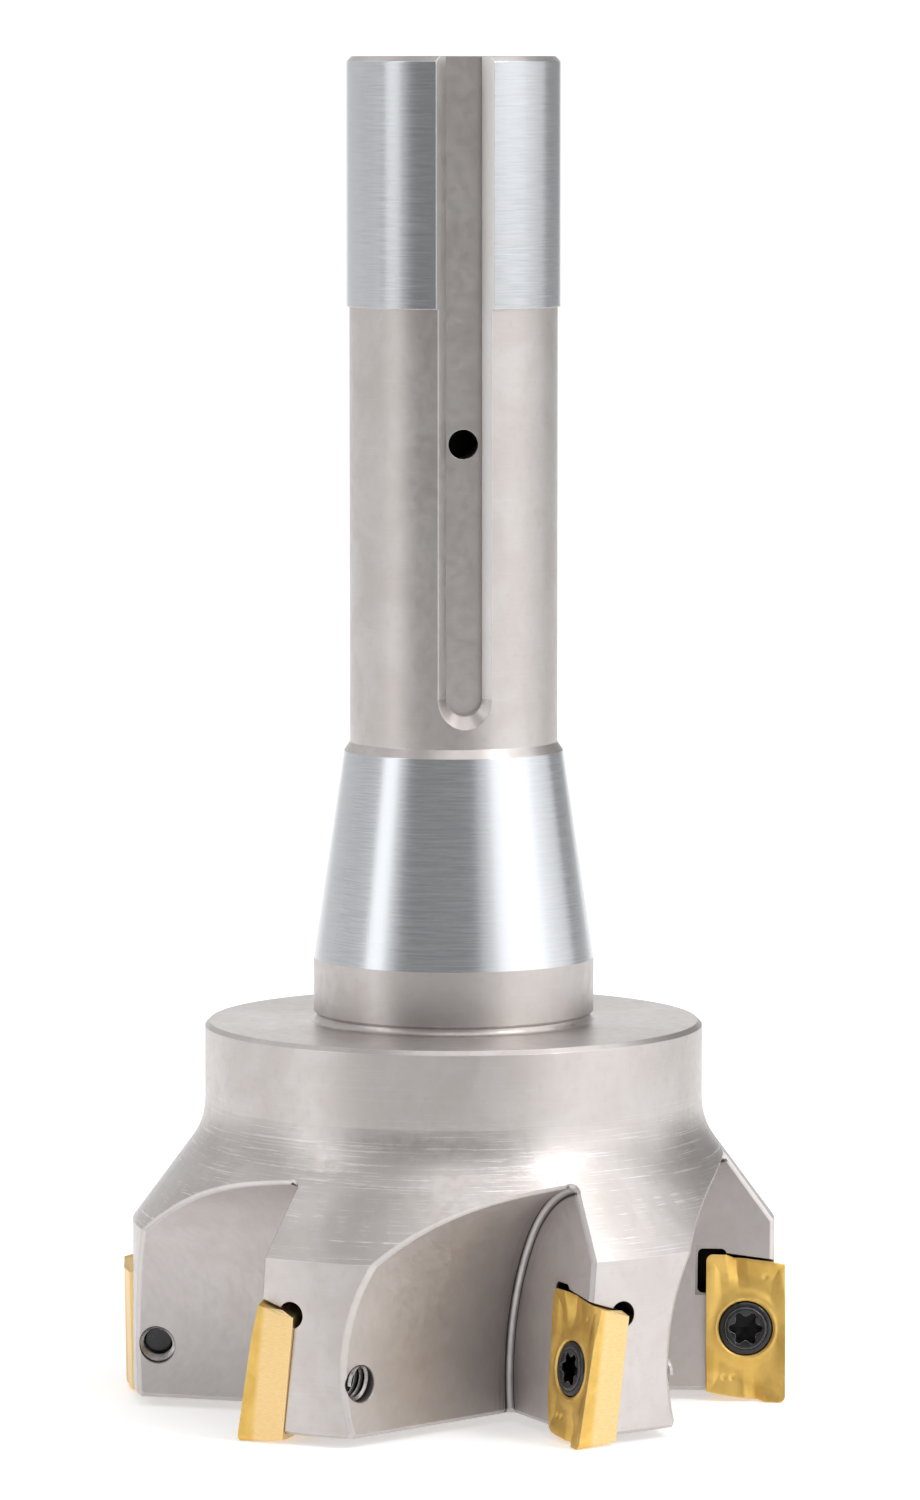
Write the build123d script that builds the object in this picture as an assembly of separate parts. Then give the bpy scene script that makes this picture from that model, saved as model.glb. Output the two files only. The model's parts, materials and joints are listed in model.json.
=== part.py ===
from build123d import *
import math
import os

# Indexable 90 degree face mill, nominally 3 inches across the insert corners (76.0 mm here),
# six teeth, R8 shank.
# Millimetres.  Z is the spindle axis, pointing up the shank.  Z = 0 is the plane the six
# insert corners cut in.  Azimuths are counted from -Y towards +X.

# ---- shank (R8)
SHANK_TOP_Z = 151.9
PILOT_R = 12.05
PILOT_BOTTOM_Z = 123.9
RELIEF_R = 11.73
RELIEF_BOTTOM_Z = 74.8
TAPER_TOP_Z = 73.8
TAPER_HALF_ANGLE = 8.425
GAUGE_Z = 50.3
GAUGE_R = 15.875
TOP_CHAMFER = 0.6

# ---- drawbar thread, 7/16-20 UNF
THREAD_MAJOR_R = 5.556
THREAD_DEPTH = 38.0
TAP_DRILL_R = 4.93
TAP_DRILL_DEPTH = 48.0
DRILL_POINT_ANGLE = 118.0
MOUTH_CHAMFER = 0.7

# ---- keyway
KEYWAY_AZIMUTH = 6.4
KEYWAY_WIDTH = 4.0
KEYWAY_FLOOR_R = 9.65
KEYWAY_END_Z = 80.4
KEYWAY_CHAMFER_R = 10.35
VENT_R = 1.665
VENT_Z = 108.8

# ---- neck and head
NECK_R = 15.85
NECK_GROOVE_R = 15.5
NECK_FILLET = 0.7
NECK_GROOVE_TOP = 1.1
HUB_TOP_Z = 43.1
HUB_R = 28.2
HUB_CHAMFER = 0.5
HUB_FILLET = 8.0
CONE_ANGLE = 36.5
CONE_BOTTOM_Z = 20.5
HEAD_R = 36.45
HEAD_BOTTOM_Z = 1.1
HEAD_BEVEL = 0.4
FACE_RECESS_R = 11.0
FACE_RECESS_DEPTH = 1.0
CENTRE_HOLE_R = 3.0
CENTRE_DRILL_R = 1.25
CENTRE_DRILL_DEPTH = 6.0

# ---- teeth
TEETH = 6
TOOTH_PITCH = 360.0 / TEETH
FIRST_AZIMUTH = 21.0
CUTTING_R = 38.0
AXIAL_RAKE = 6.5
RADIAL_RAKE = 7.0
INSERT_TURN = 0.3

# ---- chip flutes: a floor that runs straight away from the tooth, a flat tooth front
FLUTE_SKEW = 22.8
FLUTE_DEPTH_R = 16.5
FLUTE_BOW_R = 26.0
FLUTE_BOW_Z = 8.1
FLUTE_TURN = 30.0
FLUTE_CROWN_R = 14.4
FLUTE_REACH = 60.0
FRONT_SETBACK = 1.05
FRONT_AXIAL = 4.2
FRONT_RADIAL = 4.6
ROOT_R = 0.55
ROOT_INTO_FLOOR = 0.12
ROOT_INTO_FRONT = 0.05
EDGE_BREAK = 0.45

# ---- inserts
INSERT_WIDTH = 9.2
INSERT_LENGTH = 16.7
INSERT_SIDE = 15.85
INSERT_THICK = 4.8
INSERT_TWIST = 0.45
INSERT_FLANK = 11.0
WIPER = 2.4
INSERT_HOLE_R = 2.25
NOSE_R = 0.8
BLUNT_R = 0.3

# ---- insert screws, M4, countersunk head
SCREW_HEAD_R = 3.05
SCREW_HEAD_TOP = 4.95
SCREW_HEAD_RIM = 0.7
SCREW_CONE_HALF_ANGLE = 30.0
SCREW_SHANK_R = 1.95
SCREW_TIP = -5.4
SCREW_TIP_CHAMFER = 0.5
SCREW_FIT = 0.05
SCREW_HOLE_R = 2.0
SCREW_HOLE_EXIT = -8.0
SCREW_HOLE_MOUTH = 0.25
RECESS_R = 1.55
RECESS_DEPTH = 1.4

# ---- insert pockets
SEAT_GAP = 0.03
WALL_GAP = 0.05
TOP_GAP = 0.25
CORNER_RELIEF_SIDE = 0.95
CORNER_RELIEF_TOP = 0.6
CORNER_RELIEF_RUN = 2.3
CORNER_RELIEF_DROP = 4.4
CORNER_RELIEF_SINK = 0.3
CORNER_RELIEF_R = 0.6
SIDE_HOLE_R = 1.5
SIDE_HOLE_UP = 15.0
SIDE_HOLE_RISE = 0.6
SIDE_HOLE_REACH = 9.0


def sin(angle):
    return math.sin(math.radians(angle))


def cos(angle):
    return math.cos(math.radians(angle))


def tan(angle):
    return math.tan(math.radians(angle))


def tooth_frame(index):
    """Local frame of a tooth: X out through the insert corner, Y away from the cut."""
    return Location((0, 0, 0), (0, 0, FIRST_AZIMUTH + index * TOOTH_PITCH - 90))


def tilted_plane(origin, axial, radial, turn=0.0):
    """Plane across a tooth: X outward, Y up the edge, Z towards the cut.

    turn swings it about a line through its origin, parallel to the spindle axis.
    """
    up = Vector(0, sin(axial), cos(axial))
    sideways = cos(axial) * sin(radial)
    forward = cos(axial) * cos(radial)
    normal = Vector(sideways, -forward, sin(axial) * cos(radial))
    outward = up.cross(normal).normalized()
    plane = Plane(origin=origin, x_dir=outward, z_dir=normal)
    return plane.rotated((0, 0, turn))


NOSE_THICK = INSERT_THICK + INSERT_TWIST
RAKE = tilted_plane((CUTTING_R, 0, 0), AXIAL_RAKE, RADIAL_RAKE, INSERT_TURN)
SEAT = RAKE.offset(-NOSE_THICK)
SEAT_INSET = NOSE_THICK * tan(INSERT_FLANK)
CENTRE = (-INSERT_WIDTH / 2, INSERT_LENGTH / 2)


# ---------------------------------------------------------------- body of revolution
def revolved_blank():
    """Shank, neck, hub and head as one turned shape."""
    taper_top_r = GAUGE_R - (TAPER_TOP_Z - GAUGE_Z) * tan(TAPER_HALF_ANGLE)
    cone_top_z = CONE_BOTTOM_Z + (HEAD_R - HUB_R) / tan(CONE_ANGLE)
    groove_top_z = HUB_TOP_Z + NECK_GROOVE_TOP
    profile = [
        (0, HEAD_BOTTOM_Z),
        (HEAD_R - HEAD_BEVEL, HEAD_BOTTOM_Z),
        (HEAD_R, HEAD_BOTTOM_Z + HEAD_BEVEL),
        (HEAD_R, CONE_BOTTOM_Z),
        (HUB_R, cone_top_z),
        (HUB_R, HUB_TOP_Z - HUB_CHAMFER),
        (HUB_R - HUB_CHAMFER, HUB_TOP_Z),
        (NECK_GROOVE_R, HUB_TOP_Z),
        (NECK_GROOVE_R, groove_top_z - (NECK_R - NECK_GROOVE_R)),
        (NECK_R, groove_top_z),
        (GAUGE_R, GAUGE_Z),
        (taper_top_r, TAPER_TOP_Z),
        (RELIEF_R, RELIEF_BOTTOM_Z),
        (RELIEF_R, PILOT_BOTTOM_Z),
        (PILOT_R, PILOT_BOTTOM_Z),
        (PILOT_R, SHANK_TOP_Z - TOP_CHAMFER),
        (PILOT_R - TOP_CHAMFER, SHANK_TOP_Z),
        (0, SHANK_TOP_Z),
    ]
    face = Plane.XZ * make_face(Polyline(*profile, close=True))
    hub_corner = face.vertices().sort_by_distance((HUB_R, 0, cone_top_z))[0]
    face = fillet(hub_corner, HUB_FILLET)
    neck_corner = face.vertices().sort_by_distance((NECK_GROOVE_R, 0, HUB_TOP_Z))[0]
    face = fillet(neck_corner, NECK_FILLET)
    return revolve(face, Axis.Z)


def drawbar_bore():
    """Threaded bore for the drawbar, tap drill and drill point below it."""
    thread_bottom_z = SHANK_TOP_Z - THREAD_DEPTH
    drill_bottom_z = SHANK_TOP_Z - TAP_DRILL_DEPTH
    point = TAP_DRILL_R / tan(DRILL_POINT_ANGLE / 2)
    profile = [
        (0, SHANK_TOP_Z + 1),
        (THREAD_MAJOR_R + MOUTH_CHAMFER + 1, SHANK_TOP_Z + 1),
        (THREAD_MAJOR_R, SHANK_TOP_Z - MOUTH_CHAMFER),
        (THREAD_MAJOR_R, thread_bottom_z),
        (TAP_DRILL_R, thread_bottom_z - (THREAD_MAJOR_R - TAP_DRILL_R)),
        (TAP_DRILL_R, drill_bottom_z),
        (0, drill_bottom_z - point),
    ]
    return revolve(Plane.XZ * make_face(Polyline(*profile, close=True)), Axis.Z)


def keyway():
    """Guide-pin keyway, open at the top, round at its lower end, with chamfered edges."""
    outward = Vector(sin(KEYWAY_AZIMUTH), -cos(KEYWAY_AZIMUTH), 0)
    sideways = Vector(cos(KEYWAY_AZIMUTH), sin(KEYWAY_AZIMUTH), 0)
    length = SHANK_TOP_Z - KEYWAY_END_Z + 10

    def slot(distance, width):
        start = outward * distance + Vector(0, 0, KEYWAY_END_Z)
        plane = Plane(origin=start, x_dir=sideways, z_dir=outward)
        end = Circle(width / 2)
        run = Pos(0, length / 2) * Rectangle(width, length)
        return plane * (end + run)

    deep = extrude(slot(KEYWAY_FLOOR_R, KEYWAY_WIDTH), amount=10, dir=outward)
    rise = 4.0
    flare_bottom = slot(KEYWAY_CHAMFER_R, KEYWAY_WIDTH)
    flare_top = slot(KEYWAY_CHAMFER_R + rise, KEYWAY_WIDTH + 2 * rise)
    flare = loft([flare_bottom, flare_top])
    return deep + flare


def vent_hole():
    """Small hole from the keyway floor into the drawbar bore."""
    outward = Vector(sin(KEYWAY_AZIMUTH), -cos(KEYWAY_AZIMUTH), 0)
    plane = Plane(origin=Vector(0, 0, VENT_Z), z_dir=outward)
    return extrude(plane * Circle(VENT_R), amount=PILOT_R + 1)


def bottom_centre():
    """Shallow recess and centre-drill hole in the lower face."""
    floor_z = HEAD_BOTTOM_Z + FACE_RECESS_DEPTH
    cone_top_z = floor_z + (CENTRE_HOLE_R - CENTRE_DRILL_R) / tan(30)
    profile = [
        (0, HEAD_BOTTOM_Z - 1),
        (FACE_RECESS_R, HEAD_BOTTOM_Z - 1),
        (FACE_RECESS_R, floor_z),
        (CENTRE_HOLE_R, floor_z),
        (CENTRE_DRILL_R, cone_top_z),
        (CENTRE_DRILL_R, floor_z + CENTRE_DRILL_DEPTH),
        (0, floor_z + CENTRE_DRILL_DEPTH + CENTRE_DRILL_R / 2),
    ]
    return revolve(Plane.XZ * make_face(Polyline(*profile, close=True)), Axis.Z)


# ---------------------------------------------------------------- chip flutes
def floor_prism(offset):
    """Everything outside the flute floor; the floor moved towards the chip space by offset."""
    across = Vector(cos(FLUTE_SKEW), sin(FLUTE_SKEW), 0)
    along = Vector(sin(FLUTE_SKEW), -cos(FLUTE_SKEW), 0)
    bow_centre = FLUTE_DEPTH_R + FLUTE_BOW_R
    bow_r = FLUTE_BOW_R - offset
    crown_r = FLUTE_CROWN_R - offset
    crown_x = bow_centre - (FLUTE_BOW_R - FLUTE_CROWN_R) * cos(FLUTE_TURN)
    crown_z = FLUTE_BOW_Z + (FLUTE_BOW_R - FLUTE_CROWN_R) * sin(FLUTE_TURN)
    start_turn = -26.0
    start = (bow_centre - bow_r * cos(start_turn), FLUTE_BOW_Z + bow_r * sin(start_turn))
    middle = (bow_centre - bow_r, FLUTE_BOW_Z)
    turn = (bow_centre - bow_r * cos(FLUTE_TURN), FLUTE_BOW_Z + bow_r * sin(FLUTE_TURN))
    half = (FLUTE_TURN + 90) / 2
    crown_middle = (crown_x - crown_r * cos(half), crown_z + crown_r * sin(half))
    crown_top = (crown_x, crown_z + crown_r)
    lines = Curve() + [
        ThreePointArc(start, middle, turn),
        ThreePointArc(turn, crown_middle, crown_top),
        Line(crown_top, (FLUTE_REACH, crown_top[1])),
        Line((FLUTE_REACH, crown_top[1]), (FLUTE_REACH, start[1])),
        Line((FLUTE_REACH, start[1]), start),
    ]
    plane = Plane(origin=along * -FLUTE_REACH, x_dir=across, z_dir=along)
    return extrude(plane * make_face(lines), amount=2 * FLUTE_REACH, dir=along)


def front_space(offset):
    """Everything ahead of the flat tooth front, moved towards the cut by offset."""
    plane = tilted_plane((CUTTING_R, FRONT_SETBACK, 0), FRONT_AXIAL, FRONT_RADIAL).offset(offset)
    return extrude(plane * Rectangle(4 * FLUTE_REACH, 4 * FLUTE_REACH), amount=2 * FLUTE_REACH)


def root_edges(cutter, offset):
    """Edges of the cutter where the floor meets the tooth front."""
    plane = tilted_plane((CUTTING_R, FRONT_SETBACK, 0), FRONT_AXIAL, FRONT_RADIAL).offset(offset)
    found = []
    for edge in cutter.edges():
        middle = edge.position_at(0.5)
        on_front = abs(plane.to_local_coords(middle).Z) < 0.01
        if on_front and edge.geom_type != GeomType.LINE and middle.Z < 40:
            found.append(edge)
    return found


def flute_cutter():
    """Chip space of one tooth, with the small rounded groove along its root."""
    cutter = floor_prism(0) & front_space(0)
    cutter = fillet(root_edges(cutter, 0), ROOT_R)
    rail = floor_prism(ROOT_R - ROOT_INTO_FLOOR) & front_space(ROOT_R - ROOT_INTO_FRONT)
    path = Wire(root_edges(rail, ROOT_R - ROOT_INTO_FRONT))
    section = Plane(origin=path.position_at(0), z_dir=path.tangent_at(0)) * Circle(ROOT_R)
    groove = sweep(section, path=path)
    return cutter + groove


# ---------------------------------------------------------------- insert pockets
def pocket_cutter():
    """Seat, side wall and top wall for one insert, with the corner reliefs."""
    wall = INSERT_WIDTH - SEAT_INSET + WALL_GAP
    slope = (INSERT_LENGTH - INSERT_SIDE) / (INSERT_WIDTH - WIPER)
    top = INSERT_LENGTH - SEAT_INSET + TOP_GAP
    far = 8.0
    outline = [
        (far, -far),
        (-wall, -far),
        (-wall, top),
        (-(INSERT_WIDTH - WIPER), top),
        (far, top - (INSERT_WIDTH - WIPER + far) * slope),
    ]
    seat = SEAT.offset(-SEAT_GAP)
    main = extrude(seat * make_face(Polyline(*outline, close=True)), amount=9, taper=-INSERT_FLANK)
    relief_left = INSERT_WIDTH + CORNER_RELIEF_SIDE
    relief_right = INSERT_WIDTH - CORNER_RELIEF_RUN
    relief_top = INSERT_LENGTH + CORNER_RELIEF_TOP
    relief_bottom = INSERT_LENGTH - CORNER_RELIEF_DROP
    relief_width = relief_left - relief_right
    relief_height = relief_top - relief_bottom
    relief_centre = Pos(-(relief_left + relief_right) / 2, (relief_top + relief_bottom) / 2)
    relief = relief_centre * RectangleRounded(relief_width, relief_height, CORNER_RELIEF_R)
    corner = extrude(SEAT.offset(-CORNER_RELIEF_SINK) * relief, amount=9)
    hole_start = SEAT * Pos(far, SIDE_HOLE_UP, SIDE_HOLE_RISE)
    hole_plane = Plane(origin=hole_start.position, z_dir=-SEAT.x_dir)
    side_hole = extrude(hole_plane * Circle(SIDE_HOLE_R), amount=far + SIDE_HOLE_REACH)
    return main + corner + side_hole


def screw_hole():
    """Through hole behind the seat, with a small countersink where it comes out."""
    bottom = 2 * SCREW_HOLE_EXIT
    bore_circle = SEAT.offset(bottom) * Pos(*CENTRE) * Circle(SCREW_HOLE_R)
    bore = extrude(bore_circle, amount=1 - bottom)
    mouth_start = SCREW_HOLE_EXIT + SCREW_HOLE_MOUTH
    flare = 2.0
    mouth_small = SEAT.offset(mouth_start) * Pos(*CENTRE) * Circle(SCREW_HOLE_R)
    mouth_big = SEAT.offset(mouth_start - flare) * Pos(*CENTRE) * Circle(SCREW_HOLE_R + flare)
    mouth = loft([mouth_small, mouth_big])
    return bore + mouth


# ---------------------------------------------------------------- cutter body
def on_turned_surface(point):
    """True for a point on the lower face, bevel, cylinder or cone of the head."""
    r = math.hypot(point.X, point.Y)
    on_face = abs(point.Z - HEAD_BOTTOM_Z) < 0.001
    on_bevel = abs(HEAD_R - r + point.Z - HEAD_BOTTOM_Z - HEAD_BEVEL) < 0.01
    if point.Z < HEAD_BOTTOM_Z + HEAD_BEVEL:
        return on_face or on_bevel
    if point.Z < CONE_BOTTOM_Z:
        return abs(r - HEAD_R) < 0.01
    return abs(point.Z - CONE_BOTTOM_Z - (HEAD_R - r) / tan(CONE_ANGLE)) < 0.01


def flute_rim(body):
    """Edges where the flutes come out of the turned surfaces of the head."""
    found = []
    for edge in body.edges():
        inside = [on_turned_surface(edge.position_at(t)) for t in (0.3, 0.5)]
        if all(inside) and edge.geom_type != GeomType.CIRCLE:
            found.append(edge)
    return found


def cutter_body():
    """The steel body: turned shape, keyway and bore, flutes, broken edges, pockets."""
    body = revolved_blank()
    flute = flute_cutter()
    for index in range(TEETH):
        body = body - tooth_frame(index) * flute
    body = chamfer(flute_rim(body), EDGE_BREAK)
    body = body - drawbar_bore() - keyway() - vent_hole() - bottom_centre()
    pocket = pocket_cutter()
    hole = screw_hole()
    for index in range(TEETH):
        body = body - tooth_frame(index) * pocket
        body = body - tooth_frame(index) * hole
    return body


# ---------------------------------------------------------------- inserts
def insert_outline():
    """Outline of the insert at its cutting corners: a parallelogram with two wiper flats."""
    rise = INSERT_LENGTH - INSERT_SIDE
    points = [
        (0, 0),
        (0, INSERT_SIDE),
        (-(INSERT_WIDTH - WIPER), INSERT_LENGTH),
        (-INSERT_WIDTH, INSERT_LENGTH),
        (-INSERT_WIDTH, rise),
        (-WIPER, 0),
    ]
    face = make_face(Polyline(*points, close=True))
    noses = [face.vertices().sort_by_distance(points[i])[0] for i in (0, 3)]
    face = fillet(noses, NOSE_R)
    blunt = [face.vertices().sort_by_distance(points[i])[0] for i in (1, 4)]
    return fillet(blunt, BLUNT_R)


def insert_top():
    """Everything above the gently twisted rake face."""
    reach = 1.4
    half_width = reach * INSERT_WIDTH / 2
    half_length = reach * INSERT_LENGTH / 2
    swing = reach * reach * INSERT_TWIST
    low = Line(
        (CENTRE[0] - half_width, CENTRE[1] - half_length, INSERT_THICK - swing),
        (CENTRE[0] + half_width, CENTRE[1] - half_length, INSERT_THICK + swing),
    )
    high = Line(
        (CENTRE[0] - half_width, CENTRE[1] + half_length, INSERT_THICK + swing),
        (CENTRE[0] + half_width, CENTRE[1] + half_length, INSERT_THICK - swing),
    )
    rake = Face.make_surface_from_curves(low.edge(), high.edge())
    return extrude(rake, amount=4, dir=(0, 0, 1))


def screw_profile(grow):
    """Half section of the screw, grown outward by the fit."""
    cone_top = SCREW_HEAD_TOP - SCREW_HEAD_RIM
    cone_bottom = cone_top - (SCREW_HEAD_R - SCREW_SHANK_R) / tan(SCREW_CONE_HALF_ANGLE)
    return [(SCREW_HEAD_R + grow, cone_top), (SCREW_SHANK_R + grow, cone_bottom)]


def insert_blank():
    outline = insert_outline()
    block = extrude(Pos(0, 0, NOSE_THICK) * outline, amount=-NOSE_THICK, taper=INSERT_FLANK)
    return block - insert_top()


def insert():
    """Carbide insert in its own frame: seat at Z = 0, cutting corner at the origin."""
    grown = screw_profile(SCREW_FIT)
    seat_profile = [
        (0, NOSE_THICK + 2),
        (grown[0][0], NOSE_THICK + 2),
        grown[0],
        (INSERT_HOLE_R, grown[0][1] - (grown[0][0] - INSERT_HOLE_R) / tan(SCREW_CONE_HALF_ANGLE)),
        (INSERT_HOLE_R, -1),
        (0, -1),
    ]
    opening = revolve(Plane.XZ * make_face(Polyline(*seat_profile, close=True)), Axis.Z)
    return insert_blank() - Pos(*CENTRE) * opening


# ---------------------------------------------------------------- insert screws
def insert_screw():
    """Countersunk clamping screw in its own frame: axis on Z, insert seat at Z = 0."""
    cone = screw_profile(0)
    profile = [
        (0, SCREW_HEAD_TOP),
        (SCREW_HEAD_R - 0.3, SCREW_HEAD_TOP),
        (SCREW_HEAD_R, SCREW_HEAD_TOP - 0.3),
        cone[0],
        cone[1],
        (SCREW_SHANK_R, SCREW_TIP + SCREW_TIP_CHAMFER),
        (SCREW_SHANK_R - SCREW_TIP_CHAMFER, SCREW_TIP),
        (0, SCREW_TIP),
    ]
    solid = revolve(Plane.XZ * make_face(Polyline(*profile, close=True)), Axis.Z)
    recess_floor = Pos(0, 0, SCREW_HEAD_TOP - RECESS_DEPTH) * RegularPolygon(RECESS_R, 6)
    recess = extrude(recess_floor, amount=RECESS_DEPTH + 1)
    return solid - recess


# ---------------------------------------------------------------- output
def save(shape, name):
    solids = shape.solids()
    print(name, "solids:", len(solids), "volume:", round(sum(s.volume for s in solids), 2))
    export_step(solids[0], "parts/" + name + ".step")


os.makedirs("parts", exist_ok=True)
save(cutter_body(), "cutter_body")
one_insert = insert()
one_screw = insert_screw()
for index in range(TEETH):
    place = tooth_frame(index) * SEAT.location
    save(place * one_insert, "insert_" + str(index + 1))
    save(place * Pos(*CENTRE) * one_screw, "insert_screw_" + str(index + 1))
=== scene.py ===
import bpy
import json
import math
from mathutils import Matrix, Vector

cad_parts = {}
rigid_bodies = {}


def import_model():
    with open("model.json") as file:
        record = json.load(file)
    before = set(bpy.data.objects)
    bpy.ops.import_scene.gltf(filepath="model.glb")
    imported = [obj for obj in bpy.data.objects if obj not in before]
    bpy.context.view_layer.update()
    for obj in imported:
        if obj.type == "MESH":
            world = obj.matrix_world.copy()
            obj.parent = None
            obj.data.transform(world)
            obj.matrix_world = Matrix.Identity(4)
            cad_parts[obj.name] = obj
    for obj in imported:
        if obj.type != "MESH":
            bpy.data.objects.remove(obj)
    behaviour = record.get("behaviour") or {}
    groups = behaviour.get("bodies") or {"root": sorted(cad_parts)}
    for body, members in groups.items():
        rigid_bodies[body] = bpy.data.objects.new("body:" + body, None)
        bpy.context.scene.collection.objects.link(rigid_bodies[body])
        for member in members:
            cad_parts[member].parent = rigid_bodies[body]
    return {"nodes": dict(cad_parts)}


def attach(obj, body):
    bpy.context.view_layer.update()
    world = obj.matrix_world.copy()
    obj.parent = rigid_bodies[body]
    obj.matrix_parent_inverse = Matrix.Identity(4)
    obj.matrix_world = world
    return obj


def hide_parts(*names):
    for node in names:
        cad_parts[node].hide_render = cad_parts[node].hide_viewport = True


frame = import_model()

# The default cube, lamp and camera of an empty start are not part of the frame.
KEPT = set(frame["nodes"].values())
for stray in list(bpy.data.objects):
    if stray not in KEPT and stray.name in {"Cube", "Light", "Camera"}:
        bpy.data.objects.remove(stray, do_unlink=True)

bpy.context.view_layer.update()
MM = 0.001
TEETH = 6


def sin(angle):
    return math.sin(math.radians(angle))


def cos(angle):
    return math.cos(math.radians(angle))


def tan(angle):
    return math.tan(math.radians(angle))


def smoothstep(low, high, x):
    t = min(1.0, max(0.0, (x - low) / (high - low)))
    return t * t * (3 - 2 * t)


# ------------------------------------------------------------------ where the teeth are
FIRST_AZIMUTH = 21.0
CUTTING_R = 38.0
AXIAL_RAKE = 6.5
RADIAL_RAKE = 7.0
INSERT_TURN = 0.3
NOSE_THICK = 5.25
INSERT_WIDTH = 9.2
INSERT_LENGTH = 16.7
CENTRE = (-INSERT_WIDTH / 2, INSERT_LENGTH / 2)


def face_normal(axial, radial):
    """Normal of a face tilted by an axial and a radial angle, in the first tooth's frame."""
    normal = Vector((cos(axial) * sin(radial), -cos(axial) * cos(radial), sin(axial) * cos(radial)))
    return normal.normalized()


def seat_axes():
    """Outward, up-the-edge and normal directions of the seat in the first tooth's frame."""
    up = Vector((0, sin(AXIAL_RAKE), cos(AXIAL_RAKE)))
    normal = face_normal(AXIAL_RAKE, RADIAL_RAKE)
    outward = up.cross(normal).normalized()
    turn = Matrix.Rotation(math.radians(INSERT_TURN), 3, "Z")
    normal = turn @ normal
    outward = turn @ outward
    return outward, normal.cross(outward), normal


SEAT_X, SEAT_Y, SEAT_N = seat_axes()
SEAT_ORIGIN = Vector((CUTTING_R, 0, 0)) - NOSE_THICK * SEAT_N


def seat_matrix(index):
    """From seat coordinates in mm to the shared frame in metres."""
    local = Matrix.Identity(4)
    for row in range(3):
        local[row][0] = SEAT_X[row]
        local[row][1] = SEAT_Y[row]
        local[row][2] = SEAT_N[row]
        local[row][3] = SEAT_ORIGIN[row] * MM
    angle = math.radians(FIRST_AZIMUTH + index * 360 / TEETH - 90)
    return Matrix.Rotation(angle, 4, "Z") @ local


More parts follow.
